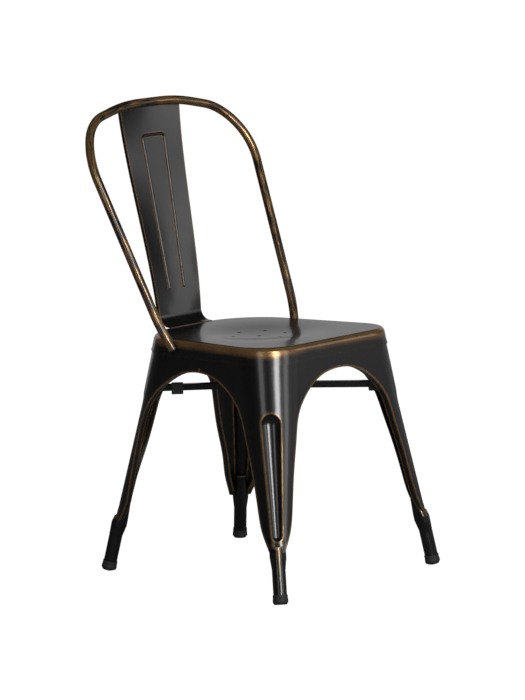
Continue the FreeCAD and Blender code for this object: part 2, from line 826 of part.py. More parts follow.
def round_edges(body, base, wanted, expression):
    doc.recompute()
    fillet = body.newObject("PartDesign::Fillet", body.Name + "_rounding")
    fillet.Base = (base, edge_names(base, wanted))
    fillet.setExpression("Radius", expression)
    return fillet


# Rubber feet

above_floor = doc.addObject("Part::Box", "above_floor")
above_floor.Length = 2 * BEYOND
above_floor.Width = 2 * BEYOND
above_floor.Height = BEYOND
above_floor.Placement = Placement(Vector(-BEYOND, -BEYOND, 0), Rotation())


def foot_body(name, front, side):
    """Turned rubber cap over the end of one shank, pressed flat where it stands."""
    floor, direction = foot_axis(front)
    place = Vector(floor.x * side, floor.y, 0)
    axis = Vector(direction.x * side, direction.y, direction.z)
    body = doc.addObject("PartDesign::Body", name + "_turned")
    bore = "sizes.shank_diameter / 2"
    wall = f"{bore} + sizes.boot_wall"
    bulge = f"{bore} + sizes.boot_bulge"
    sole = f"{bore} - sizes.boot_wall"
    lift = f"({sole}) * sizes.boot_tilt - sizes.boot_crush"
    profile = [
        ("0 mm", lift),
        (sole, lift),
        (bulge, f"{lift} + 0.25 * sizes.boot_height"),
        (bulge, f"{lift} + 0.45 * sizes.boot_height"),
        (wall, f"{lift} + 0.65 * sizes.boot_height"),
        (wall, f"{lift} + sizes.boot_height"),
        (bore, f"{lift} + sizes.boot_height"),
        (bore, f"{lift} + sizes.boot_sole"),
        ("0 mm", f"{lift} + sizes.boot_sole"),
    ]
    sketch = polygon_sketch(body, "XZ_Plane", name + "_profile", [profile])
    turned = body.newObject("PartDesign::Revolution", name + "_revolution")
    turned.Profile = sketch
    turned.ReferenceAxis = (sketch, ["V_Axis"])
    turned.Angle = 360
    body.Placement = Placement(place, Rotation(Vector(0, 0, 1), axis))
    foot = doc.addObject("Part::Common", name)
    foot.Base = body
    foot.Tool = above_floor
    foot.Label = name
    return foot


for side, hand in ((1, "left"), (-1, "right")):
    foot_body(f"foot_front_{hand}", True, side)
    foot_body(f"foot_rear_{hand}", False, side)

# Brace bars that cross under the seat

BAR_REACH = size("bar_blank_reach")
UPPER = size("bar_upper_height")
LOWER = UPPER - size("bar_size")
inside_legs = whole_volume(2 * THICKNESS, size("corner_bend_height"), UPPER + size("bar_size") * 2)
leg_space = add_feature("space_between_legs", inside_legs)


def brace_place(side, height):
    """Placement of a bar: X runs from the rear leg to the front leg of the given side."""
    front = corner_point(height, True)[0]
    rear = corner_point(height, False)[0]
    start = Vector(-rear.x * side, rear.y, 0)
    run = Vector(front.x * side, front.y, 0) - start
    crossing = start + run * (rear.x / (rear.x + front.x))
    turn = math.degrees(math.atan2(run.y, run.x))
    return Placement(Vector(0, crossing.y, height), Rotation(Vector(0, 0, 1), turn))


def bar_fall(height):
    """How far a bar's arms drop from the crossing to the legs, per millimetre along the bar."""
    return (height - size("bar_end_height")) / BAR_REACH


def brace_bar(name, side, height_expression, height):
    body = doc.addObject("PartDesign::Body", name + "_bent")
    half = "sizes.bar_size / 2"
    fall = f"({height_expression} - sizes.bar_end_height)"
    reach = "sizes.bar_blank_reach"
    outline = [
        ("0 mm", f"-{half}"),
        (reach, f"-{half} - {fall}"),
        (reach, f"{half} - {fall}"),
        ("0 mm", half),
        (f"-{reach}", f"{half} - {fall}"),
        (f"-{reach}", f"-{half} - {fall}"),
    ]
    sketch = polygon_sketch(body, "XZ_Plane", name + "_side", [outline])
    pad = body.newObject("PartDesign::Pad", name + "_pad")
    pad.Profile = sketch
    pad.setExpression("Length", "sizes.bar_size")
    pad.Midplane = True
    round_edges(body, pad, lambda e: e.Length > BAR_REACH / 2, "sizes.bar_edge_radius")
    body.Placement = brace_place(side, height)
    bar = doc.addObject("Part::Common", name)
    bar.Base = body
    bar.Tool = leg_space
    bar.Label = name
    return bar


brace_bar("brace_bar_upper", 1, "sizes.bar_upper_height", UPPER)
brace_bar("brace_bar_lower", -1, "(sizes.bar_upper_height - sizes.bar_size)", LOWER)


# Plastic stacking pads threaded on the brace arms

def rectangle(side, bottom, top):
    """Corners of a rectangle, symmetric about the vertical axis, as expressions."""
    return [(f"-({side})", bottom), (side, bottom), (side, top), (f"-({side})", top)]


def stacking_pad(name, side, height, distance):
    body = doc.addObject("PartDesign::Body", name)
    half = "sizes.bar_size / 2"
    side_face = f"{half} + sizes.pad_side_wall"
    top = f"{half} + sizes.pad_top_wall"
    bottom = f"-{half} - sizes.pad_bottom_wall"
    outer = rectangle(side_face, bottom, top)
    channel = rectangle(half, f"-{half}", half)
    sketch = polygon_sketch(body, "YZ_Plane", name + "_section", [outer, channel])
    pad = body.newObject("PartDesign::Pad", name + "_block")
    pad.Profile = sketch
    pad.setExpression("Length", "sizes.pad_length")
    pad.Midplane = True
    limit = size("bar_size") / 2 + OVERLAP
    round_edges(body, pad, lambda e: max(abs(e.CenterOfMass.y), abs(e.CenterOfMass.z)) > limit,
                "sizes.pad_edge_radius")
    fall = bar_fall(height)
    drop = -fall * abs(distance)
    tilt = math.degrees(math.atan(fall)) * (1 if distance > 0 else -1)
    local = Placement(Vector(distance, 0, drop), Rotation(Vector(0, 1, 0), tilt))
    body.Placement = brace_place(side, height).multiply(local)
    body.Label = name
    return body


stacking_pad("stacking_pad_front_left", 1, UPPER, size("pad_front_distance"))
stacking_pad("stacking_pad_rear_right", 1, UPPER, -size("pad_rear_distance"))
stacking_pad("stacking_pad_front_right", -1, LOWER, size("pad_front_distance"))
stacking_pad("stacking_pad_rear_left", -1, LOWER, -size("pad_rear_distance"))

doc.recompute()
for item in doc.Objects:
    if "Invalid" in item.State or "Error" in item.State:
        raise RuntimeError(f"{item.Label}: {item.State}")

NODES = ["seat_pan", "back_splat", "back_hoop", "brace_bar_upper", "brace_bar_lower"]
for place in ("front", "rear"):
    for hand in ("left", "right"):
        NODES += [f"{piece}_{place}_{hand}" for piece in ("leg", "foot", "stacking_pad")]

os.makedirs("parts", exist_ok=True)
for name in NODES:
    shape = doc.getObject(name).Shape
    if shape.isNull() or not shape.isValid() or len(shape.Solids) != 1:
        raise RuntimeError(f"{name}: not one valid solid")
    shape.exportStep(f"parts/{name}.step")
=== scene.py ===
"""Looks of a metal bistro chair: worn black paint, rubbed gold edges, rubber feet, studio light and camera.

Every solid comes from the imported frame. This script gives each one its finish, adds the coordinates
that the brushed finish of the back hoop needs, and sets up a plain pale studio. Lengths are metres in
the frame's axes: Z up, the sitter faces -Y, and the origin lies on the floor under the middle of the
chair.
"""

import logging
import math
from dataclasses import dataclass, field
from enum import Enum, IntEnum
from typing import Dict, Iterable, List, Optional, Sequence, Tuple, Union

import bpy
import numpy as np
from mathutils import Matrix, Vector

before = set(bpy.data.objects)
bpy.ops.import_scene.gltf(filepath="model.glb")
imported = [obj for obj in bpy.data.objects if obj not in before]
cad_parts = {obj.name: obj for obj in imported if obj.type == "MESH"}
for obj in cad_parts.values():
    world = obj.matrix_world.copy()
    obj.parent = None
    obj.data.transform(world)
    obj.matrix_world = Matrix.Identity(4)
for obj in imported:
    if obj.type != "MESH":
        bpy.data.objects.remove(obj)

LOG = logging.getLogger("bistro_chair")
PHOTO_WIDTH = 525
PHOTO_HEIGHT = 700
BEVEL_SAMPLES = 8
MEAN = 0.5  # middle of every noise

Colour = Tuple[float, float, float]
Number = Union[float, int]


class Slot(str, Enum):
    """Material slots named in the record."""

    BLACK_PAINT = "black_paint"
    RUBBED_PAINT = "rubbed_paint"
    RUBBER = "rubber"
    PLASTIC = "plastic"


class Op(str, Enum):
    """Math node operations used by the socket wrapper."""

    ADD = "ADD"
    SUBTRACT = "SUBTRACT"
    MULTIPLY = "MULTIPLY"
    DIVIDE = "DIVIDE"
    POWER = "POWER"
    MINIMUM = "MINIMUM"
    MAXIMUM = "MAXIMUM"
    ABSOLUTE = "ABSOLUTE"


class MixSocket(IntEnum):
    """Socket numbers of a mix node that mixes colours."""

    SHARE = 0
    LOW = 6
    HIGH = 7
    RESULT = 2


class Wire:
    """An output socket with arithmetic.

    Args:
        graph: The graph that the socket belongs to.
        socket: The output socket itself.
    """

    def __init__(self, graph: "Graph", socket: bpy.types.NodeSocket) -> None:
        """Keeps the socket."""
        self.graph = graph
        self.socket = socket

    def _math(self, op: Op, first: "Feed", second: "Feed" = 0.0) -> "Wire":
        """Returns the result of one math node."""
        node = self.graph.node("ShaderNodeMath", {0: first, 1: second}, operation=op.value)
        return node.out(0)

    def __add__(self, other: "Feed") -> "Wire":
        """Returns self + other."""
        return self._math(Op.ADD, self, other)

    def __radd__(self, other: "Feed") -> "Wire":
        """Returns other + self."""
        return self._math(Op.ADD, other, self)

    def __sub__(self, other: "Feed") -> "Wire":
        """Returns self - other."""
        return self._math(Op.SUBTRACT, self, other)

    def __rsub__(self, other: "Feed") -> "Wire":
        """Returns other - self."""
        return self._math(Op.SUBTRACT, other, self)

    def __mul__(self, other: "Feed") -> "Wire":
        """Returns self * other."""
        return self._math(Op.MULTIPLY, self, other)

    def __rmul__(self, other: "Feed") -> "Wire":
        """Returns other * self."""
        return self._math(Op.MULTIPLY, other, self)

    def __truediv__(self, other: "Feed") -> "Wire":
        """Returns self / other."""
        return self._math(Op.DIVIDE, self, other)

    def __rtruediv__(self, other: "Feed") -> "Wire":
        """Returns other / self."""
        return self._math(Op.DIVIDE, other, self)

    def __pow__(self, other: "Feed") -> "Wire":
        """Returns self ** other."""
        return self._math(Op.POWER, self, other)

    def __abs__(self) -> "Wire":
        """Returns the size without its sign."""
        return self._math(Op.ABSOLUTE, self)

    def least(self, other: "Feed") -> "Wire":
        """Returns the smaller of this and another value."""
        return self._math(Op.MINIMUM, self, other)

    def most(self, other: "Feed") -> "Wire":
        """Returns the larger of this and another value."""
        return self._math(Op.MAXIMUM, self, other)

    def ramp(self, low: float, high: float, start: float = 0.0, end: float = 1.0) -> "Wire":
        """Returns this value mapped smoothly from [low, high] to [start, end] and clamped there."""
        inputs = {"Value": self, "From Min": low, "From Max": high, "To Min": start, "To Max": end}
        return self.graph.node("ShaderNodeMapRange", inputs, interpolation_type="SMOOTHSTEP").out(0)


Feed = Union[Wire, Number, Sequence[float]]
Sockets = Dict[Union[int, str], Feed]


class GraphNode:
    """A shader node whose outputs come back as wires."""

    def __init__(self, graph: "Graph", node: bpy.types.Node) -> None:
        """Keeps the node."""
        self.graph = graph
        self.node = node

    def out(self, key: Union[int, str]) -> Wire:
        """Returns the output socket of that name or number."""
        return Wire(self.graph, self.node.outputs[key])


class Graph:
    """A material's or world's node tree.

    Args:
        tree: The node tree, which is emptied first.
    """

    def __init__(self, tree: bpy.types.NodeTree) -> None:
        """Takes over the tree."""
        self.tree = tree
        tree.nodes.clear()

    def node(self, kind: str, inputs: Optional[Sockets] = None, **settings: object) -> GraphNode:
        """Adds one node.

        Args:
            kind: The node's type name.
            inputs: Values or wires by input name or number.
            **settings: Attributes of the node.

        Returns:
            The new node, wrapped.
        """
        made = self.tree.nodes.new(kind)
        for name, value in settings.items():
            setattr(made, name, value)
        for key, value in (inputs or {}).items():
            socket = made.inputs[key]
            if isinstance(value, Wire):
                self.tree.links.new(value.socket, socket)
            elif isinstance(value, (tuple, list)) and len(value) == 3 and socket.type == "RGBA":
                socket.default_value = (*value, 1.0)
            else:
                socket.default_value = value
        return GraphNode(self, made)

    def position(self) -> Wire:
        """Returns the point's place in the frame's axes, the same in every pose."""
        return self.node("ShaderNodeTexCoord").out("Object")

    def parts(self, vector: Wire) -> Tuple[Wire, Wire, Wire]:
        """Returns the three components of a vector."""
        split = self.node("ShaderNodeSeparateXYZ", {0: vector})
        return split.out(0), split.out(1), split.out(2)

    def noise(self, vector: Wire, scale: float, detail: float = 3.0, roughness: float = 0.55) -> Wire:
        """Returns a smooth noise from 0 to 1."""
        inputs = {"Vector": vector, "Scale": scale, "Detail": detail, "Roughness": roughness}
        return self.node("ShaderNodeTexNoise", inputs).out(0)

    def stretched(self, vector: Wire, factors: Sequence[float]) -> Wire:
        """Returns a vector with each component multiplied."""
        node = self.node("ShaderNodeVectorMath", {0: vector, 1: tuple(factors)}, operation="MULTIPLY")
        return node.out(0)

    def mix(self, share: Feed, low: Feed, high: Feed) -> Wire:
        """Returns the colour that lies a share of the way from one colour to another."""
        inputs = {MixSocket.SHARE: share, MixSocket.LOW: low, MixSocket.HIGH: high}
        return self.node("ShaderNodeMix", inputs, data_type="RGBA").out(MixSocket.RESULT)

    def edge_wear(self, radius: float) -> Wire:
        """Works out how sharply the surface turns nearby.

        Args:
            radius: How far around the point the turn is looked for.

        Returns:
            The sharpness: 0 on smooth faces, towards 1 on an edge.
        """
        soft = self.node("ShaderNodeBevel", {"Radius": radius}, samples=BEVEL_SAMPLES).out(0)
        true = self.node("ShaderNodeNewGeometry").out("Normal")
        dot = self.node("ShaderNodeVectorMath", {0: soft, 1: true}, operation="DOT_PRODUCT").out("Value")
        return 1.0 - dot

    def normal(self) -> Tuple[Wire, Wire, Wire]:
        """Returns the components of the surface's own normal."""
        return self.parts(self.node("ShaderNodeNewGeometry").out("Normal"))


def scaled(colour: Colour, factor: float) -> Colour:
    """Returns a colour made darker or lighter."""
    return tuple(channel * factor for channel in colour)


@dataclass(frozen=True)
class Paint:
    """A semi-gloss black paint over metal that shows antique gold where it is rubbed.

    Attributes:
        black: Colour of the paint.
        gold: Colour of the rubbed metal at its brightest.
        brown: Colour where the rub only stains the paint.
        roughness: Roughness of the paint.
        coat: Weight of the clear coat.
        coat_roughness: Roughness of the clear coat.
        stain_range: Rub at which the stain starts and at which it is full.
        bare_range: Rub at which bare metal starts and at which it is full.
        mottle_scale: Scale of the soft mottle in the black.
        mottle_lift: How much lighter the mottle gets than the black.
        gold_shade: How dark the gold gets in its grain.
        peel_scale: Scale of the fine ripple in the paint.
        peel_height: Height of that ripple beside the rub's own relief.
        mottle_gloss: How far the mottle varies the roughness.
        bare_gloss: How much rougher bare metal is.
        grain_gloss: How far the grain varies the roughness.
        stain_metal: How metallic the stain is.
        bare_metal: How much more metallic bare metal is.
        coat_loss: Share of the clear coat that is gone on bare metal.
        bump_strength: Strength of the relief.
        bump_distance: Depth of the relief in metres.
    """

    black: Colour = (0.0042, 0.0040, 0.0042)
    gold: Colour = (0.52, 0.31, 0.12)
    brown: Colour = (0.10, 0.052, 0.022)
    roughness: float = 0.24
    coat: float = 0.35
    coat_roughness: float = 0.10
    stain_range: Tuple[float, float] = (0.05, 0.55)
    bare_range: Tuple[float, float] = (0.35, 0.95)
    mottle_scale: float = 38.0
    mottle_lift: float = 1.4
    gold_shade: float = 0.55
    peel_scale: float = 420.0
    peel_height: float = 0.4
    mottle_gloss: float = 0.05
    bare_gloss: float = 0.06
    grain_gloss: float = 0.04
    stain_metal: float = 0.35
    bare_metal: float = 0.6
    coat_loss: float = 0.8
    bump_strength: float = 0.035
    bump_distance: float = 0.0006

    def surface(self, graph: Graph, rub: Wire, grain: Wire) -> None:
        """Ends the material with the paint's shader.

        Args:
            graph: The material's graph.
            rub: How far the paint is rubbed away, 0 to 1.
            grain: A fine noise that breaks up the colour and the gloss.
        """
        place = graph.position()
        mottle = graph.noise(place, self.mottle_scale, 4.0)
        stain = rub.ramp(*self.stain_range)
        bare = rub.ramp(*self.bare_range)
        dark = graph.mix(mottle, self.black, scaled(self.black, self.mottle_lift))
        stained = graph.mix(stain, dark, self.brown)
        bright = graph.mix(grain, scaled(self.gold, self.gold_shade), self.gold)
        colour = graph.mix(bare, stained, bright)
        gloss = self.roughness + (mottle - MEAN) * self.mottle_gloss + bare * self.bare_gloss
        gloss = gloss + (grain - MEAN) * self.grain_gloss
        relief = graph.noise(place, self.peel_scale, 2.0) * self.peel_height + grain * rub
        bump = graph.node("ShaderNodeBump", {
            "Strength": self.bump_strength, "Distance": self.bump_distance, "Height": relief,
        })
        shader = graph.node("ShaderNodeBsdfPrincipled", {
            "Base Color": colour, "Roughness": gloss, "Normal": bump.out(0),
            "Metallic": stain * self.stain_metal + bare * self.bare_metal,
            "Coat Weight": self.coat * (1.0 - bare * self.coat_loss), "Coat Roughness": self.coat_roughness,
        })
        graph.node("ShaderNodeOutputMaterial", {"Surface": shader.out(0)})


@dataclass(frozen=True)
class Moulding:
    """A matt moulded rubber or plastic.

    Attributes:
        colour: Mean colour.
        roughness: Mean roughness.
        speckle: Scale of the fine texture.
        dust_scale: Scale of the soft dust that varies colour and gloss.
        dust_shades: Darkest and lightest share of the colour in the dust.
        dust_gloss: How far the dust varies the roughness.
        bump_strength: Strength of the fine texture.
        bump_distance: Depth of the fine texture in metres.
    """

    colour: Colour
    roughness: float
    speckle: float = 900.0
    dust_scale: float = 60.0
    dust_shades: Tuple[float, float] = (0.6, 1.5)
    dust_gloss: float = 0.16
    bump_strength: float = 0.12
    bump_distance: float = 0.0004

    def surface(self, graph: Graph) -> None:
        """Ends the material with the moulding's shader.

        Args:
            graph: The material's graph.
        """
        place = graph.position()
        dust = graph.noise(place, self.dust_scale, 5.0)
        speck = graph.noise(place, self.speckle, 2.0)
        darkest, lightest = (scaled(self.colour, share) for share in self.dust_shades)
        colour = graph.mix(dust, darkest, lightest)
        gloss = self.roughness + (dust - MEAN) * self.dust_gloss
        bump = graph.node("ShaderNodeBump", {
            "Strength": self.bump_strength, "Distance": self.bump_distance, "Height": speck,
        })
        shader = graph.node("ShaderNodeBsdfPrincipled", {
            "Base Color": colour, "Roughness": gloss, "Normal": bump.out(0),
        })
        graph.node("ShaderNodeOutputMaterial", {"Surface": shader.out(0)})


BLACK = Paint()
RUBBER = Moulding((0.010, 0.010, 0.011), 0.72)
PLASTIC = Moulding((0.014, 0.014, 0.015), 0.55, 700.0)


def new_graph(name: str) -> Tuple[bpy.types.Material, Graph]:
    """Makes an empty material.

    Args:
        name: The material's name.

    Returns:
        The material and its graph.
    """
    material = bpy.data.materials.new(name)
    material.use_nodes = True
    return material, Graph(material.node_tree)


def starting(prefix: str) -> List[str]:
    """Returns the frame's nodes whose names start with a prefix."""
    return [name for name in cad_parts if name.startswith(prefix)]


def dress(nodes: Iterable[str], material: bpy.types.Material) -> None:
    """Gives CAD nodes one material.

    Args:
        nodes: Names of the nodes.
        material: Their material.
    """
    for name in nodes:
        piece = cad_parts[name]
        piece.data.materials.clear()
        piece.data.materials.append(material)
        LOG.info("%s: %s", name, material.name)


@dataclass(frozen=True)
class LineRub:
    """Rub along a sheet's edges and folds, broken up by patches and by a grain that runs upwards.

    Attributes:
        radius: Width of the worn line.
        turn: Sharpness at which the rub starts and at which it is full.
        patch_scale: Scale of the patches.
        patch_levels: Share of the rub outside the patches, and what a full patch adds.
        grain_levels: Share of the rub without grain, and what full grain adds.
        grain_stretch: Stretch of the grain.
        grain_scale: Scale of the stretched grain.
        grain_detail: Detail of the grain.
    """

    radius: float
    turn: Tuple[float, float]
    patch_scale: float
    patch_levels: Tuple[float, float]
    grain_levels: Tuple[float, float]
    grain_stretch: Tuple[float, float, float] = (300.0, 300.0, 60.0)
    grain_scale: float = 3.0
    grain_detail: float = 4.0

    def rub(self, graph: Graph, place: Wire) -> Tuple[Wire, Wire]:
        """Works out the rub.

        Args:
            graph: The material's graph.
            place: The point's place.

        Returns:
            The rub and its grain.
        """
        stretched = graph.stretched(place, self.grain_stretch)
        grain = graph.noise(stretched, self.grain_scale, self.grain_detail)
        patch = graph.noise(place, self.patch_scale)
        worn = graph.edge_wear(self.radius).ramp(*self.turn)
        in_patch = self.patch_levels[0] + patch * self.patch_levels[1]
        in_grain = self.grain_levels[0] + grain * self.grain_levels[1]
        return worn * in_patch * in_grain, grain


@dataclass
class Seat:
    """The dished seat pan.

    Attributes:
        rim: Height of the seat's rim at mid depth.
        fall: How far the rim drops per metre towards the back.
        half_width: Half width of the seat at the front corner.
        half_depth: Distance from the origin to the front edge.
        corner_power: How tightly the rub gathers at the corners.
        rub_reach: How far down the skirt the rub goes on a straight side.
        corner_reach: How much further it goes at a corner.
        patch_reach: How much further it goes in a patch.
        fade: How far below and above that line the rub fades.
        patch_scale: Scale of the patches.
        roll_slopes: Upward share of the normal where the rolled rim starts to lose its rub and has lost it.
        roll_levels: Rub of the rolled rim, and what a full patch and a corner add.
        lip_depths: Depths at which the rub of the top edge starts and at which it is full.
        lip_slopes: Upward share of the normal where that rub starts to fade and has faded.
        lip_left: What is left of it on level sheet.
        lip_rub: Rub of the top edge in a full patch.
        grain_stretch: Stretch of the grain.
        grain_scale: Scale of the stretched grain.
        grain_detail: Detail of the grain.
        grain_levels: Share of the rub without grain, and what full grain adds.
        edge_radius: Width of the worn line on the sheet's edges.
        edge_turn: Sharpness at which an edge's rub starts and at which it is full.
        edge_grain: Grain at which an edge's rub starts and at which it is full.
        edge_rub: Rub of a full edge.
    """

    rim: float = 0.4345
    fall: float = 0.018
    half_width: float = 0.176
    half_depth: float = 0.186
    corner_power: float = 6.0
    rub_reach: float = 0.010
    corner_reach: float = 0.012
    patch_reach: float = 0.006
    fade: Tuple[float, float] = (0.006, 0.004)
    patch_scale: float = 14.0
    roll_slopes: Tuple[float, float] = (0.80, 0.985)
    roll_levels: Tuple[float, float, float] = (0.22, 0.55, 0.55)
    lip_depths: Tuple[float, float] = (-0.004, -0.0004)
    lip_slopes: Tuple[float, float] = (0.97, 0.999)
    lip_left: float = 0.30
    lip_rub: float = 0.35
    grain_stretch: Tuple[float, float, float] = (60.0, 60.0, 400.0)
    grain_scale: float = 4.0
    grain_detail: float = 4.0
    grain_levels: Tuple[float, float] = (0.55, 0.9)
    edge_radius: float = 0.0016
    edge_turn: Tuple[float, float] = (0.05, 0.5)
    edge_grain: Tuple[float, float] = (0.25, 0.6)
    edge_rub: float = 0.7

    def rub(self, graph: Graph, place: Wire, grain: Wire) -> Wire:
        """Works out how far the rolled rim and the sheet's edges are rubbed.

        Args:
            graph: The material's graph.
            place: The point's place.
            grain: A fine noise that breaks up the rub.

        Returns:
            The rub, 0 to 1.
        """
        x, y, z = graph.parts(place)
        depth = z - self.rim + y * self.fall
        _, _, up = graph.normal()
        patch = graph.noise(place, self.patch_scale)
        near_side = (abs(x) / self.half_width).least(1.0)
        near_end = (abs(y) / self.half_depth).least(1.0)
        corner = near_side ** self.corner_power * near_end ** self.corner_power
        reach = -self.rub_reach - corner * self.corner_reach - patch * self.patch_reach
        below = graph.node("ShaderNodeMapRange", {
            "Value": depth, "From Min": reach - self.fade[0], "From Max": reach + self.fade[1],
        }).out(0)
        base, per_patch, per_corner = self.roll_levels
        rolled = up.ramp(*self.roll_slopes, 1.0, 0.0) * below
        top_edge = depth.ramp(*self.lip_depths) * up.ramp(*self.lip_slopes, 1.0, self.lip_left)
        worn = rolled * (base + patch * per_patch + corner * per_corner) + top_edge * (patch * self.lip_rub)
        worn = worn * (self.grain_levels[0] + grain * self.grain_levels[1])
        edges = graph.edge_wear(self.edge_radius).ramp(*self.edge_turn) * grain.ramp(*self.edge_grain)
        return worn.most(edges * self.edge_rub)

    def dress(self) -> None:
        """Paints the pan: a brown-gold rolled rim over black sheet."""
        material, graph = new_graph("seat_paint")
        place = graph.position()
        stretched = graph.stretched(place, self.grain_stretch)
        grain = graph.noise(stretched, self.grain_scale, self.grain_detail)
        BLACK.surface(graph, self.rub(graph, place, grain), grain)
        dress(["seat_pan"], material)


@dataclass(frozen=True)
class RidgeLine:
    """Line that a leg's outward ridge follows above the floor.

    Attributes:
        spread: Distance from the middle plane at the floor.
        reach: Distance in front of or behind the origin at the floor.
        spread_run: Inward run sideways per metre of height.
        reach_run: Inward run in depth per metre of height.
    """

    spread: float
    reach: float
    spread_run: float
    reach_run: float


@dataclass
class Legs:
    """The four folded-sheet legs.

    Attributes:
        ridge_top: Height where the gold ridge below the groove starts.
        ridge_fade: Height over which it sets in.
        ridge_bottom: Height where it runs out.
        ridge_taper: Half width of the ridge per metre above its lower end.
        ridge_least: Least half width that the fade across the ridge is worked out with.
        ridge_core: Share of the way to the ridge's line at which its rub is full.
        ridge_depth: How far outside its line the ridge is full.
        ridge_levels: Rub of the ridge without grain, and what full grain adds.
        middle_blur: Half width of the change from the front to the rear legs.
        front: Line of the front legs' ridges.
        rear: Line of the rear legs' ridges.
        wear: Rub on the lips and the groove rims.
        seam_height: Height above which the sheets' meeting edges stay black.
        seam_fade: Height over which they turn black.
        foot_height: Height below which the sheet's edges stay black.
        foot_fade: Height over which their rub sets in.
    """

    ridge_top: float = 0.112
    ridge_fade: float = 0.004
    ridge_bottom: float = 0.030
    ridge_taper: float = 0.085
    ridge_least: float = 0.0004
    ridge_core: float = 0.6
    ridge_depth: float = 0.008
    ridge_levels: Tuple[float, float] = (0.20, 0.75)
    middle_blur: float = 0.001
    front: RidgeLine = RidgeLine(spread=0.2100, reach=0.2378, spread_run=0.1000, reach_run=0.1300)
    rear: RidgeLine = RidgeLine(spread=0.1790, reach=0.2047, spread_run=0.1200, reach_run=0.1500)
    wear: LineRub = LineRub(
        radius=0.0050, turn=(0.004, 0.07), patch_scale=22.0, patch_levels=(0.25, 0.95), grain_levels=(0.55, 0.8),
    )
    seam_height: float = 0.3890
    seam_fade: float = 0.0015
    foot_height: float = 0.090
    foot_fade: float = 0.010

    def ridge(self, graph: Graph, place: Wire) -> Wire:
        """Works out the rub along the outward ridge between the groove and the foot.

        Args:
            graph: The material's graph.
            place: The point's place.

        Returns:
            The rub, 0 to 1.
        """
        x, y, z = graph.parts(place)
        front = y.ramp(-self.middle_blur, self.middle_blur, 1.0, 0.0)
        rear = 1.0 - front
        spread_run = front * self.front.spread_run + rear * self.rear.spread_run
        reach_run = front * self.front.reach_run + rear * self.rear.reach_run
        spread = front * self.front.spread + rear * self.rear.spread - z * spread_run
        reach = front * self.front.reach + rear * self.rear.reach - z * reach_run
        out_x = abs(x) - spread
        out_y = abs(y) - reach
        across = abs(out_x - out_y)
        outward = (out_x + out_y).ramp(0.0, self.ridge_depth)
        width = (z - self.ridge_bottom) * self.ridge_taper
        band = z.ramp(self.ridge_top - self.ridge_fade, self.ridge_top, 1.0, 0.0)
        near = (1.0 - across / width.most(self.ridge_least)).ramp(0.0, self.ridge_core)
        return near * outward * band

    def dress(self) -> None:
        """Paints the legs: gold lines along each lip, groove rim and foot ridge."""
        material, graph = new_graph("leg_paint")
        place = graph.position()
        _, _, z = graph.parts(place)
        lines, grain = self.wear.rub(graph, place)
        below_seam = z.ramp(self.seam_height, self.seam_height + self.seam_fade, 1.0, 0.0)
        shown = below_seam * z.ramp(self.foot_height, self.foot_height + self.foot_fade)
        ridge = self.ridge(graph, place) * (self.ridge_levels[0] + grain * self.ridge_levels[1])
        BLACK.surface(graph, (lines * shown).most(ridge).least(1.0), grain)
        dress(starting("leg_"), material)


@dataclass
class Splat:
    """The flared back splat with its pressed bead.

    Attributes:
        wear: Rub on the edges and the bead.
    """

    wear: LineRub = LineRub(
        radius=0.0035, turn=(0.006, 0.10), patch_scale=18.0, patch_levels=(0.25, 0.9), grain_levels=(0.5, 0.8),
    )

    def dress(self) -> None:
        """Paints the splat: thin gold lines along its edges and its bead."""
        material, graph = new_graph("splat_paint")
        lines, grain = self.wear.rub(graph, graph.position())
        BLACK.surface(graph, lines.least(1.0), grain)
        dress(["back_splat"], material)


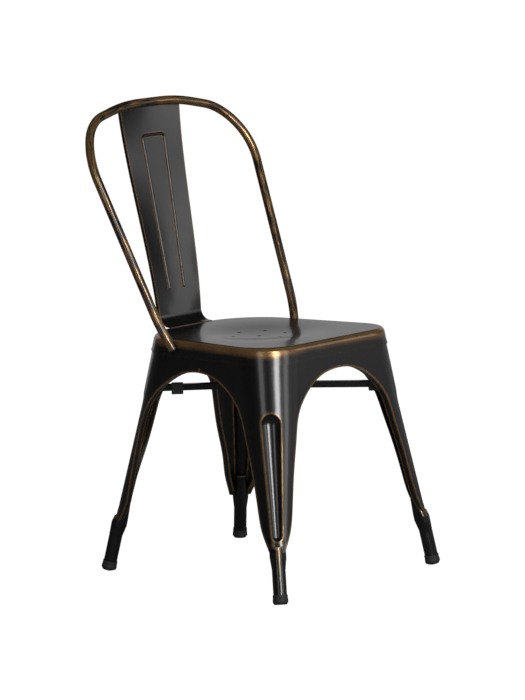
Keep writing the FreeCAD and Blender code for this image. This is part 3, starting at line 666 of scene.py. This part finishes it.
@dataclass
class Hoop:
    """The round-tube back hoop, brushed along its length.

    Attributes:
        root: Half width, depth and height where each arm's centreline leaves the seat.
        flare: Sideways run per metre of height.
        lean: Backward run per metre of height.
        corner: Radius of the shoulder.
        crown: Radius of the top.
        top: Height of the centreline's apex.
        bend_drop: How far below the apex the hoop starts to lean further.
        bend_lean: Extra backward run per metre of height above that.
        tail: Length of each arm below its root.
        steps: Points on each run of the centreline.
        streak: Stretch of the long streaks along and across the tube.
        patch: Stretch of the broad patches.
        hair: Stretch of the finest lines.
        streak_gain: How far the streaks vary the rub.
        patch_gain: How far the patches vary the rub.
        hair_gain: How far the finest lines vary the rub.
        mean_rub: Mean rub.
    """

    root: Tuple[float, float, float] = (0.1777, 0.0554, 0.440)
    flare: float = 0.128
    lean: float = 0.432
    corner: float = 0.098
    crown: float = 0.655
    top: float = 0.8345
    bend_drop: float = 0.083
    bend_lean: float = 0.177
    tail: float = 0.03
    steps: int = 60
    streak: Tuple[float, float, float] = (26.0, 420.0, 420.0)
    patch: Tuple[float, float, float] = (14.0, 60.0, 60.0)
    hair: Tuple[float, float, float] = (90.0, 1500.0, 1500.0)
    streak_gain: float = 3.4
    patch_gain: float = 2.2
    hair_gain: float = 0.9
    mean_rub: float = 0.40

    def centreline(self) -> np.ndarray:
        """Returns points along the centreline from the +X arm over the top to the -X arm.

        Returns:
            The points in order, one per row.
        """
        along = Vector((self.flare, 0.0, 1.0)).normalized()
        inward = Vector((-along.z, 0.0, along.x))
        crown_centre = Vector((0.0, 0.0, self.top - self.crown))
        foot = Vector((self.root[0], 0.0, self.root[2]))
        start = foot + inward * self.corner
        offset = start - crown_centre
        half = offset.dot(along)
        reach = half ** 2 - (offset.dot(offset) - (self.crown - self.corner) ** 2)
        centre = start + along * (math.sqrt(reach) - half)
        toward = centre - crown_centre
        first = math.atan2(-inward.z, -inward.x)
        last = math.atan2(toward.z, toward.x)
        low = foot - along * self.tail
        shoulder = centre + Vector((math.cos(first), 0.0, math.sin(first))) * self.corner
        points = [low.lerp(shoulder, share) for share in np.linspace(0.0, 1.0, self.steps, endpoint=False)]
        for angle in np.linspace(first, last, self.steps, endpoint=False):
            points.append(centre + Vector((math.cos(angle), 0.0, math.sin(angle))) * self.corner)
        for angle in np.linspace(last, math.pi / 2, self.steps):
            points.append(crown_centre + Vector((math.cos(angle), 0.0, math.sin(angle))) * self.crown)
        flat = np.array([tuple(p) for p in points])
        rise = flat[:, 2] - self.root[2]
        bend = np.maximum(flat[:, 2] - (self.top - self.bend_drop), 0.0)
        flat[:, 1] = self.root[1] + self.lean * rise + self.bend_lean * bend
        other = flat[::-1][1:].copy()
        other[:, 0] *= -1
        return np.vstack([flat, other])

    def mark(self) -> None:
        """Stores on each vertex how far along the tube it lies and where it lies round it."""
        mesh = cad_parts["back_hoop"].data
        count = len(mesh.vertices)
        points = np.zeros(count * 3, np.float32)
        mesh.vertices.foreach_get("co", points)
        points = points.reshape(-1, 3)
        line = self.centreline()
        steps = np.linalg.norm(np.diff(line, axis=0), axis=1)
        run = np.concatenate([[0.0], np.cumsum(steps)])
        tangent = np.gradient(line, axis=0)
        tangent /= np.linalg.norm(tangent, axis=1)[:, None]
        nearest = np.argmin(((points[:, None, :] - line[None]) ** 2).sum(2), axis=1)
        offset = points - line[nearest]
        shift = (offset * tangent[nearest]).sum(1)
        offset -= tangent[nearest] * shift[:, None]
        tilt = math.atan(self.lean)
        facing = np.array([0.0, -math.cos(tilt), math.sin(tilt)])
        side = np.cross(tangent[nearest], facing)
        places = np.column_stack([run[nearest] + shift, offset @ facing, (offset * side).sum(1)])
        attribute = mesh.attributes.new("tube", "FLOAT_VECTOR", "POINT")
        attribute.data.foreach_set("vector", places.astype(np.float32).ravel())

    def dress(self) -> None:
        """Paints the hoop: gold, brown and black streaks along the tube."""
        self.mark()
        material, graph = new_graph("hoop_paint")
        tube = graph.node("ShaderNodeAttribute", attribute_name="tube").out("Vector")
        streak = graph.noise(graph.stretched(tube, self.streak), 1.0, 4.0, 0.6)
        patch = graph.noise(graph.stretched(tube, self.patch), 1.0, 3.0, 0.5)
        fine = graph.noise(graph.stretched(tube, self.hair), 1.0, 2.0)
        rub = (streak - MEAN) * self.streak_gain + (patch - MEAN) * self.patch_gain
        rub = rub + (fine - MEAN) * self.hair_gain + self.mean_rub
        BLACK.surface(graph, rub.most(0.0).least(1.0), fine)
        dress(["back_hoop"], material)


@dataclass
class Underside:
    """The crossed brace bars, the stacking pads and the rubber feet.

    Attributes:
        edge_radius: Width of the worn line on the bars.
        edge_turn: Sharpness at which the rub starts and at which it is full.
        edge_rub: How far the bars' edges are rubbed.
        grain_scale: Scale of the grain.
        grain_detail: Detail of the grain.
    """

    edge_radius: float = 0.001
    edge_turn: Tuple[float, float] = (0.05, 0.4)
    edge_rub: float = 0.35
    grain_scale: float = 160.0
    grain_detail: float = 4.0

    def dress(self) -> None:
        """Paints the bars and gives the moulded pieces their rubber and plastic."""
        bars, graph = new_graph("bar_paint")
        grain = graph.noise(graph.position(), self.grain_scale, self.grain_detail)
        wear = graph.edge_wear(self.edge_radius).ramp(*self.edge_turn)
        BLACK.surface(graph, wear * grain * self.edge_rub, grain)
        dress(["brace_bar_upper", "brace_bar_lower"], bars)
        rubber, graph = new_graph("foot_rubber")
        RUBBER.surface(graph)
        dress(starting("foot_"), rubber)
        plastic, graph = new_graph("pad_plastic")
        PLASTIC.surface(graph)
        dress(starting("stacking_pad_"), plastic)


@dataclass(frozen=True)
class Lamp:
    """One soft rectangular lamp aimed at the chair.

    Attributes:
        name: The lamp's name.
        bearing: Degrees from straight ahead of the chair (-Y) towards -X.
        distance: Horizontal distance from the chair's middle.
        height: Height of the lamp's middle.
        size: Width and height of its face.
        radiance: Brightness of its face.
        reflected_only: Whether it shows only in gloss; otherwise it lights only matt surfaces.
    """

    name: str
    bearing: float
    distance: float
    height: float
    size: Tuple[float, float]
    radiance: float
    reflected_only: bool = True

    def place(self, target: Vector) -> None:
        """Adds the lamp.

        Args:
            target: Point that the lamp faces.
        """
        light = bpy.data.lights.new(self.name, "AREA")
        light.shape = "RECTANGLE"
        light.size, light.size_y = self.size
        light.energy = self.radiance * math.pi * self.size[0] * self.size[1]
        lamp = bpy.data.objects.new(self.name, light)
        bpy.context.scene.collection.objects.link(lamp)
        angle = math.radians(self.bearing)
        lamp.location = (-math.sin(angle) * self.distance, -math.cos(angle) * self.distance, self.height)
        lamp.rotation_euler = (target - lamp.location).to_track_quat("-Z", "Y").to_euler()
        lamp.visible_camera = False
        lamp.visible_diffuse = not self.reflected_only
        lamp.visible_glossy = self.reflected_only


def grey(level: float) -> Colour:
    """Returns a neutral colour."""
    return level, level, level


@dataclass
class Studio:
    """Floor, world and lamps.

    Attributes:
        middle: Point that the lamps face.
        floor_reach: Half width of the floor.
        floor_speck: Scale of the floor's faint specks.
        floor_levels: Darkest and lightest grey of the floor.
        floor_reflected: Grey of the floor as the chair's gloss sees it.
        floor_glow: Brightness of the floor's white as the camera sees it.
        floor_glow_share: How much of that white covers the lit floor and its shadow.
        room_level: Brightness of the room on matt surfaces.
        room_reflected_drop: How much darker the room is in reflections.
        lamps: The lamps.
    """

    middle: Vector = field(default_factory=lambda: Vector((0.0, 0.0, 0.42)))
    floor_reach: float = 30.0
    floor_speck: float = 3.0
    floor_levels: Tuple[float, float] = (0.86, 0.90)
    floor_reflected: float = 0.10
    floor_glow: float = 1.10
    floor_glow_share: float = 0.88
    room_level: float = 0.45
    room_reflected_drop: float = 0.44
    lamps: Tuple[Lamp, ...] = (
        Lamp("key_strip", bearing=24.0, distance=2.5, height=1.15, size=(0.60, 1.9), radiance=13.5),
        Lamp("second_strip", bearing=-2.0, distance=2.55, height=1.15, size=(0.60, 1.9), radiance=2.4),
        Lamp("side_strip", bearing=67.0, distance=2.5, height=1.15, size=(0.55, 1.9), radiance=2.0),
        Lamp("front_wall", bearing=-22.0, distance=2.8, height=0.95, size=(2.0, 1.5), radiance=0.45),
        Lamp("low_wall", bearing=-66.0, distance=2.9, height=0.35, size=(3.0, 0.9), radiance=0.22),
        Lamp("splat_panel", bearing=-45.0, distance=2.6, height=1.15, size=(0.62, 1.0), radiance=1.6),
        Lamp("back_card", bearing=-132.0, distance=2.6, height=0.85, size=(3.4, 1.6), radiance=0.42),
        Lamp("overhead", bearing=-10.0, distance=0.8, height=2.5, size=(2.2, 1.6), radiance=2.4,
             reflected_only=False),
        Lamp("fill", bearing=20.0, distance=2.6, height=2.2, size=(2.4, 1.8), radiance=1.6,
             reflected_only=False),
    )

    def floor(self) -> None:
        """Adds the pale floor, which keeps the chair's shadow."""
        mesh = bpy.data.meshes.new("floor")
        reach = self.floor_reach
        corners = [(-reach, -reach, 0), (reach, -reach, 0), (reach, reach, 0), (-reach, reach, 0)]
        mesh.from_pydata(corners, [], [(0, 1, 2, 3)])
        floor = bpy.data.objects.new("floor", mesh)
        bpy.context.scene.collection.objects.link(floor)
        material, graph = new_graph("floor_white")
        speck = graph.noise(graph.position(), self.floor_speck)
        path = graph.node("ShaderNodeLightPath")
        darkest, lightest = (grey(level) for level in self.floor_levels)
        lit = graph.mix(speck, darkest, lightest)
        shade = graph.mix(path.out("Is Glossy Ray"), lit, grey(self.floor_reflected))
        diffuse = graph.node("ShaderNodeBsdfDiffuse", {"Color": shade})
        glow = graph.node("ShaderNodeEmission", {"Color": grey(1.0), "Strength": self.floor_glow})
        seen = path.out("Is Camera Ray") * self.floor_glow_share
        both = graph.node("ShaderNodeMixShader", {0: seen, 1: diffuse.out(0), 2: glow.out(0)})
        graph.node("ShaderNodeOutputMaterial", {"Surface": both.out(0)})
        mesh.materials.append(material)

    def world(self) -> None:
        """Sets a soft grey room that the camera sees as white."""
        world = bpy.data.worlds.new("room")
        world.use_nodes = True
        bpy.context.scene.world = world
        graph = Graph(world.node_tree)
        path = graph.node("ShaderNodeLightPath")
        seen = path.out("Is Camera Ray").most(path.out("Is Transmission Ray"))
        glossy = path.out("Is Glossy Ray")
        strength = seen + (1.0 - seen) * (self.room_level - glossy * self.room_reflected_drop)
        room = graph.node("ShaderNodeBackground", {"Color": grey(1.0), "Strength": strength})
        graph.node("ShaderNodeOutputWorld", {"Surface": room.out(0)})

    def light(self) -> None:
        """Adds the lamps."""
        for lamp in self.lamps:
            lamp.place(self.middle)


@dataclass(frozen=True)
class View:
    """The photograph's camera.

    Attributes:
        azimuth: Degrees round the chair, 0 along +Y and 90 along -X.
        elevation: Degrees above the horizon.
        distance: Distance to the target.
        target: Point that the view turns about.
        focal_pixels: Focal length in pixels of the photograph.
        centre_pixels: Where the axis meets the photograph.
        roll: Turn of the camera about its axis, in degrees.
    """

    azimuth: float = -48.345
    elevation: float = 8.890
    distance: float = 7.0
    target: Tuple[float, float, float] = (0.0, -0.016, 0.420)
    focal_pixels: float = 3900.83
    centre_pixels: Tuple[float, float] = (260.458, 338.805)
    roll: float = -1.124

    def place(self) -> None:
        """Adds the camera and makes it the scene's own."""
        turn = math.radians(self.azimuth)
        tilt = math.radians(self.elevation)
        level = math.cos(tilt)
        back = Vector((math.sin(turn) * level, -math.cos(turn) * level, math.sin(tilt)))
        right = (-back).cross(Vector((0.0, 0.0, 1.0))).normalized()
        up = right.cross(-back)
        roll = math.radians(self.roll)
        across = right * math.cos(roll) + up * math.sin(roll)
        above = up * math.cos(roll) - right * math.sin(roll)
        data = bpy.data.cameras.new("photo_camera")
        data.sensor_fit = "VERTICAL"
        data.sensor_height = 36.0
        data.lens = self.focal_pixels * data.sensor_height / PHOTO_HEIGHT
        data.shift_x = (PHOTO_WIDTH / 2 - self.centre_pixels[0]) / PHOTO_HEIGHT
        data.shift_y = (self.centre_pixels[1] - PHOTO_HEIGHT / 2) / PHOTO_HEIGHT
        data.clip_end = 100.0
        camera = bpy.data.objects.new("photo_camera", data)
        bpy.context.scene.collection.objects.link(camera)
        place = Vector(self.target) + back * self.distance
        axes = Matrix((across, above, back)).transposed().to_4x4()
        camera.matrix_world = Matrix.Translation(place) @ axes
        bpy.context.scene.camera = camera


def main() -> None:
    """Dresses the frame and sets up the studio."""
    logging.basicConfig(level=logging.INFO)
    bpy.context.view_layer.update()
    for piece in (Seat(), Legs(), Splat(), Hoop(), Underside()):
        piece.dress()
    studio = Studio()
    studio.floor()
    studio.world()
    studio.light()
    View().place()
    bpy.context.scene.view_settings.view_transform = "Standard"
    LOG.info("dressed %d nodes", len(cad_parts))


if __name__ == "__main__":
    main()
